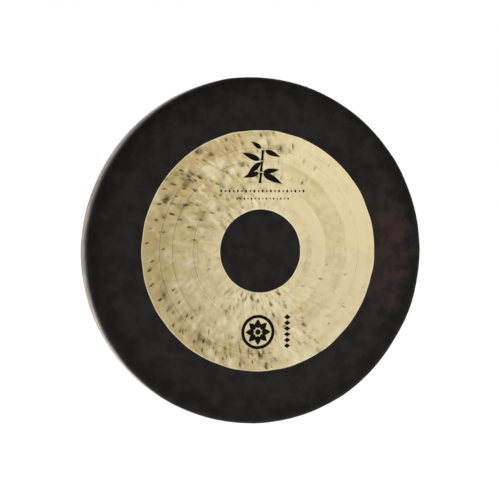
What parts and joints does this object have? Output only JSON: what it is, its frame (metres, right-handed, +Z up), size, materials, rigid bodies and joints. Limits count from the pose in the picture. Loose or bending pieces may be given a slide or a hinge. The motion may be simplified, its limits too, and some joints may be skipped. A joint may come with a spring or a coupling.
{
  "type": "tam-tam gong",
  "caption": "Shallow hanging tam-tam of forged bronze, with a scraped gold band between black fire scale, a straight rim and cord holes in its upper rim.",
  "frame": {"origin": "middle of the overall box, on the gong's axis, halfway between the crown of the face and the back edge of the rim", "axes": "+Y along the gong's axis from the struck face to the open back, +Z up as the gong hangs, +X to the right as seen from the front"},
  "size_m": [0.86, 0.1, 0.86],
  "materials": {
    "scraped_bronze": "hammered, scraped bare and left satin",
    "fire_scale": "dull black oxide with a faint mottle",
    "stencil_ink": "thin matt black ink"
  },
  "bodies": {
    "root": {"gong_body": "scraped_bronze", "front_centre_scale": "fire_scale", "front_outer_scale": "fire_scale", "back_centre_scale": "fire_scale", "back_outer_scale": "fire_scale", "sprig_ink": "stencil_ink", "upper_row_ink": "stencil_ink", "lower_row_ink": "stencil_ink", "rosette_ink": "stencil_ink", "column_ink": "stencil_ink"}
  },
  "joints": []
}
